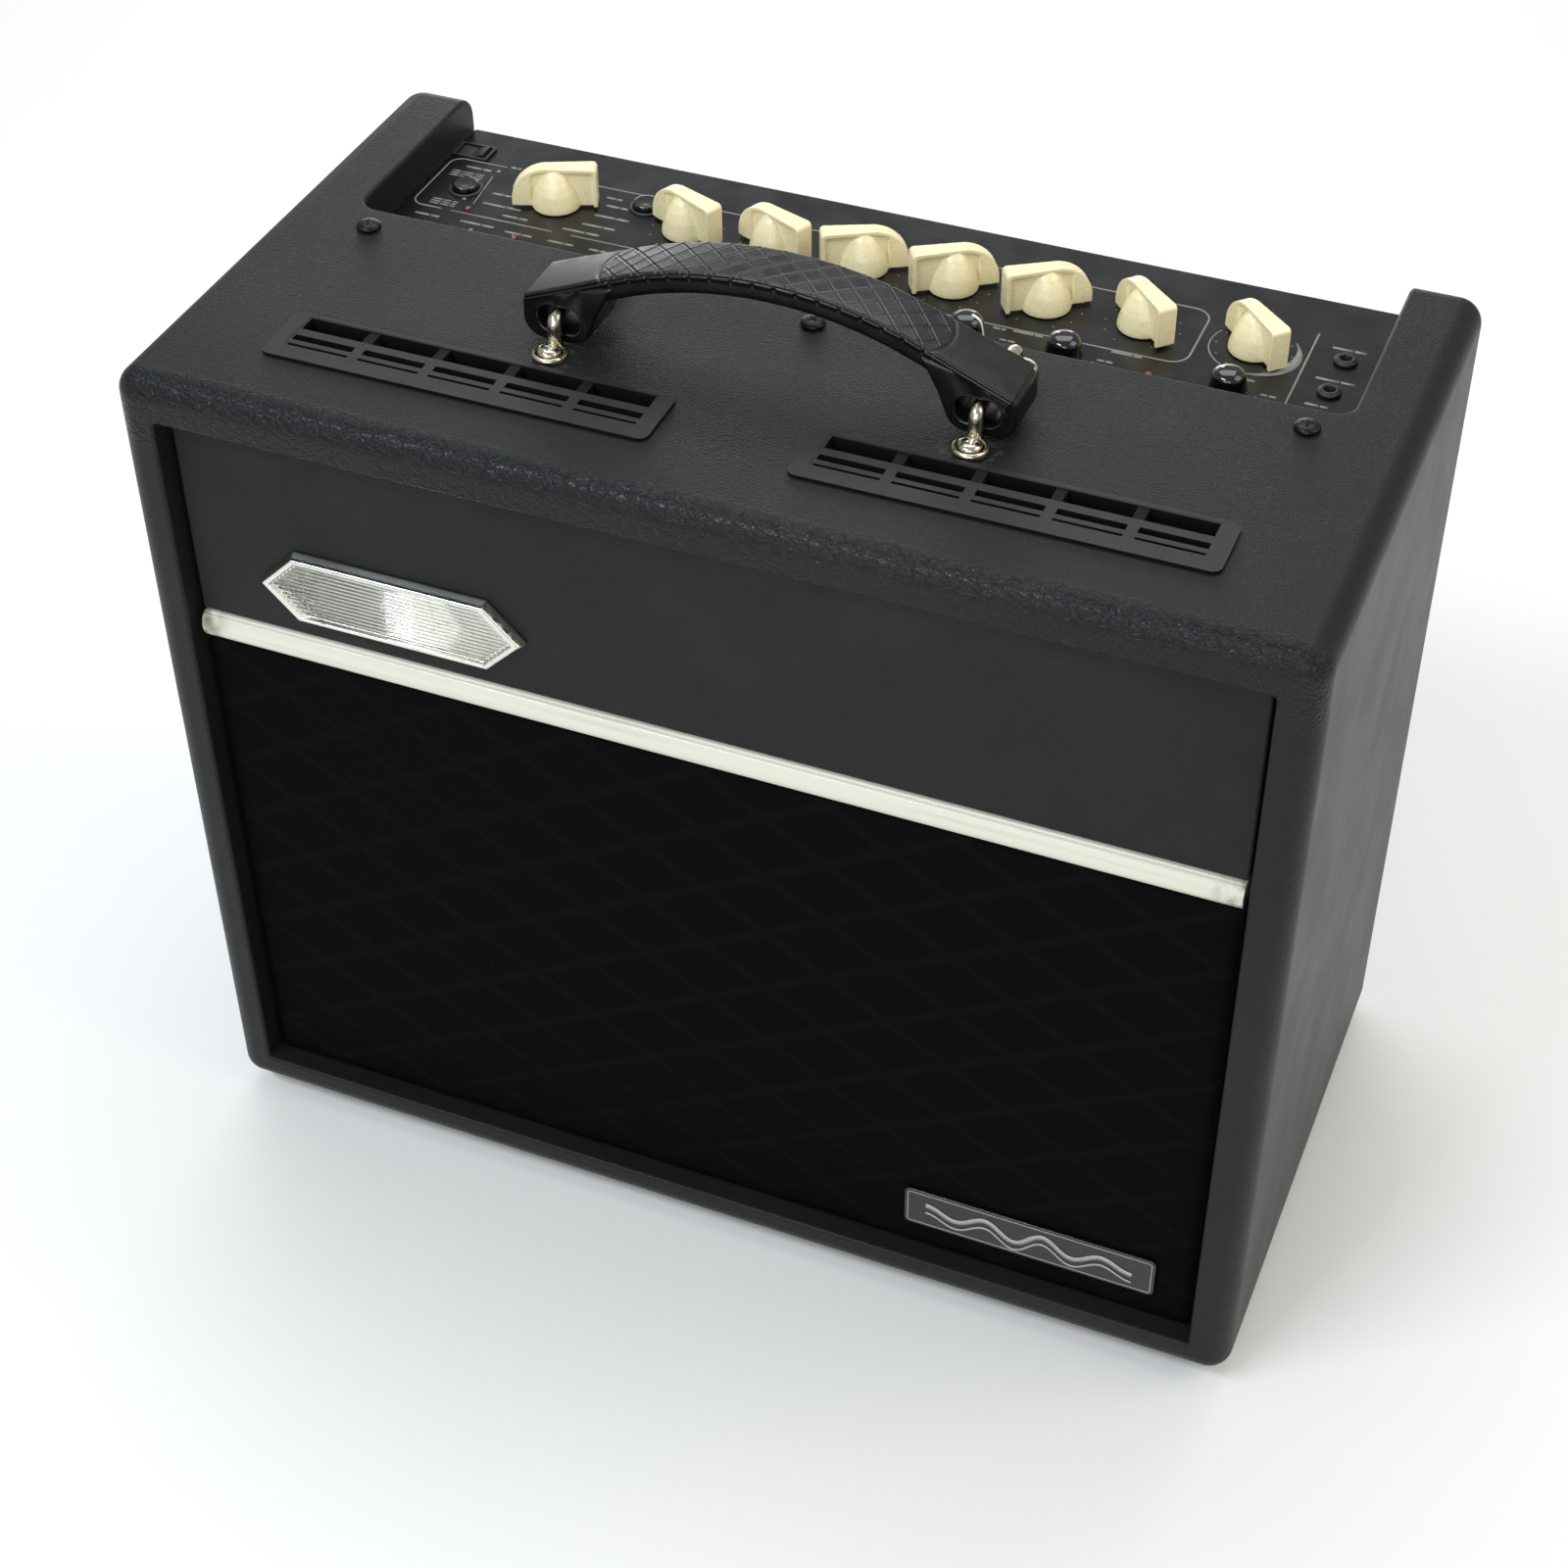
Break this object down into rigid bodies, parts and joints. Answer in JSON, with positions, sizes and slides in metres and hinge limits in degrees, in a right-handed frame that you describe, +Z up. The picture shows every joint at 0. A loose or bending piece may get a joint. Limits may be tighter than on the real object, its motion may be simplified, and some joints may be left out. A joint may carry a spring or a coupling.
{
  "type": "guitar combo amplifier",
  "caption": "Small guitar combo amplifier: vinyl covered cabinet, grille cloth over one loudspeaker, carrying handle and a control panel let into the top at the back.",
  "frame": {"origin": "on the floor, under the middle of the cabinet", "axes": "+Z up, +X to the player's right seen from the front, -Y out of the grille"},
  "size_m": [0.44, 0.23, 0.4125],
  "materials": {
    "black_vinyl": "black leather-grain vinyl over board, semi-matt",
    "fibreboard": "board stained black",
    "grille_fabric": "black woven cloth with a faint diamond pattern",
    "trim_plastic": "ivory half-round strip, slightly streaked",
    "badge_chrome": "bright chrome with fine ribs",
    "nameplate_plastic": "black gloss plate with a plain white line",
    "foot_rubber": "matt black rubber",
    "basket_steel": "pressed steel, black",
    "cone_paper": "doped black paper",
    "magnet_ferrite": "ferrite ring with steel plates",
    "lead_rubber": "black two-core lead",
    "chassis_steel": "zinc plated sheet",
    "panel_gloss": "dark grey gloss with thin silver lines",
    "circuit_board": "green circuit board",
    "transformer_iron": "laminated core and wound coil",
    "tube_glass": "clear glass",
    "socket_plastic": "black moulded plastic",
    "led_red": "unlit red lens",
    "knob_cream": "cream moulded plastic, satin gloss",
    "knob_black": "glossy black with a white pointer",
    "vent_plastic": "black moulded plastic, fine satin",
    "handle_rubber": "black rubber with a cross-hatched top",
    "bracket_nickel": "warm bright nickel plate",
    "screw_black": "black oxide"
  },
  "bodies": {
    "cabinet": {"left_side_panel": "black_vinyl", "right_side_panel": "black_vinyl", "top_panel": "black_vinyl", "bottom_panel": "black_vinyl", "front_fascia": "black_vinyl", "upper_back_panel": "black_vinyl", "lower_back_panel": "black_vinyl", "front_baffle": "fibreboard", "grille_frame": "fibreboard", "grille_cloth": "grille_fabric", "trim_strip": "trim_plastic", "badge": "badge_chrome", "nameplate": "nameplate_plastic", "foot_front_left": "foot_rubber", "foot_front_right": "foot_rubber", "foot_rear_left": "foot_rubber", "foot_rear_right": "foot_rubber", "speaker_frame": "basket_steel", "speaker_magnet": "magnet_ferrite", "speaker_lead": "lead_rubber", "chassis_tray": "chassis_steel", "control_panel": "panel_gloss", "control_board": "circuit_board", "transformer": "transformer_iron", "preamp_tube": "tube_glass", "power_inlet": "socket_plastic", "footswitch_jack": "socket_plastic", "input_jack": "socket_plastic", "aux_jack": "socket_plastic", "phones_jack": "socket_plastic", "amp_led": "led_red", "channel_led": "led_red", "tempo_led": "led_red", "vent_grille_left": "vent_plastic", "vent_grille_right": "vent_plastic", "handle_bracket_left": "bracket_nickel", "handle_bracket_right": "bracket_nickel", "bracket_screw_left_front": "bracket_nickel", "bracket_screw_left_rear": "bracket_nickel", "bracket_screw_right_front": "bracket_nickel", "bracket_screw_right_rear": "bracket_nickel", "chassis_screw_left": "screw_black", "chassis_screw_middle": "screw_black", "chassis_screw_right": "screw_black"},
    "amp_selector": {"amp_selector_knob": "knob_cream"},
    "gain": {"gain_knob": "knob_cream"},
    "volume": {"volume_knob": "knob_cream"},
    "treble": {"treble_knob": "knob_cream"},
    "middle": {"middle_knob": "knob_cream"},
    "bass": {"bass_knob": "knob_cream"},
    "effect": {"effect_knob": "knob_cream"},
    "power_level": {"power_level_knob": "knob_cream"},
    "noise": {"noise_knob": "knob_black"},
    "depth": {"depth_knob": "knob_black"},
    "reverb": {"reverb_knob": "knob_black"},
    "preset_button": {"preset_button": "knob_black"},
    "select_button": {"select_button": "knob_black"},
    "power_switch": {"power_switch": "socket_plastic"},
    "handle": {"handle_grip": "handle_rubber"},
    "speaker_cone": {"speaker_cone": "cone_paper"}
  },
  "joints": [
    {"name": "amp_selector_turn", "type": "hinge", "parent": "cabinet", "child": "amp_selector", "pos_m": [-0.135, 0.072, 0.3525], "axis": [0, 0, 1], "range_deg": [-261, 39]},
    {"name": "gain_turn", "type": "hinge", "parent": "cabinet", "child": "gain", "pos_m": [-0.0795, 0.072, 0.3525], "axis": [0, 0, 1], "range_deg": [-216, 84]},
    {"name": "volume_turn", "type": "hinge", "parent": "cabinet", "child": "volume", "pos_m": [-0.043, 0.072, 0.3525], "axis": [0, 0, 1], "range_deg": [-217.5, 82.5]},
    {"name": "treble_turn", "type": "hinge", "parent": "cabinet", "child": "treble", "pos_m": [-0.0065, 0.072, 0.3525], "axis": [0, 0, 1], "range_deg": [-87, 213]},
    {"name": "middle_turn", "type": "hinge", "parent": "cabinet", "child": "middle", "pos_m": [0.0295, 0.072, 0.3525], "axis": [0, 0, 1], "range_deg": [-92.7, 207.3]},
    {"name": "bass_turn", "type": "hinge", "parent": "cabinet", "child": "bass", "pos_m": [0.066, 0.072, 0.3525], "axis": [0, 0, 1], "range_deg": [-94.6, 205.4]},
    {"name": "effect_turn", "type": "hinge", "parent": "cabinet", "child": "effect", "pos_m": [0.1035, 0.072, 0.3525], "axis": [0, 0, 1], "range_deg": [-196, 104]},
    {"name": "power_level_turn", "type": "hinge", "parent": "cabinet", "child": "power_level", "pos_m": [0.1455, 0.072, 0.3525], "axis": [0, 0, 1], "range_deg": [-196, 104]},
    {"name": "noise_turn", "type": "hinge", "parent": "cabinet", "child": "noise", "pos_m": [0.0476, 0.035, 0.3525], "axis": [0, 0, 1], "range_deg": [-55, 245]},
    {"name": "depth_turn", "type": "hinge", "parent": "cabinet", "child": "depth", "pos_m": [0.0848, 0.035, 0.3525], "axis": [0, 0, 1], "range_deg": [-225, 75]},
    {"name": "reverb_turn", "type": "hinge", "parent": "cabinet", "child": "reverb", "pos_m": [0.1454, 0.035, 0.3525], "axis": [0, 0, 1], "range_deg": [-225, 75]},
    {"name": "preset_button_press", "type": "slide", "parent": "cabinet", "child": "preset_button", "axis": [0, 0, -1], "range_m": [0, 0.0008], "stiffness_N_per_m": 300, "springref_m": -0.0006},
    {"name": "select_button_press", "type": "slide", "parent": "cabinet", "child": "select_button", "axis": [0, 0, -1], "range_m": [0, 0.0008], "stiffness_N_per_m": 300, "springref_m": -0.0006},
    {"name": "power_switch_rock", "type": "hinge", "parent": "cabinet", "child": "power_switch", "pos_m": [-0.1835, 0.097, 0.35], "axis": [0, 1, 0], "range_deg": [0, 16]},
    {"name": "handle_lift", "type": "slide", "parent": "cabinet", "child": "handle", "axis": [0, 0, 1], "range_m": [0, 0.004]},
    {"name": "cone_stroke", "type": "slide", "parent": "cabinet", "child": "speaker_cone", "axis": [0, 1, 0], "range_m": [-0.003, 0.003], "stiffness_N_per_m": 1600}
  ]
}
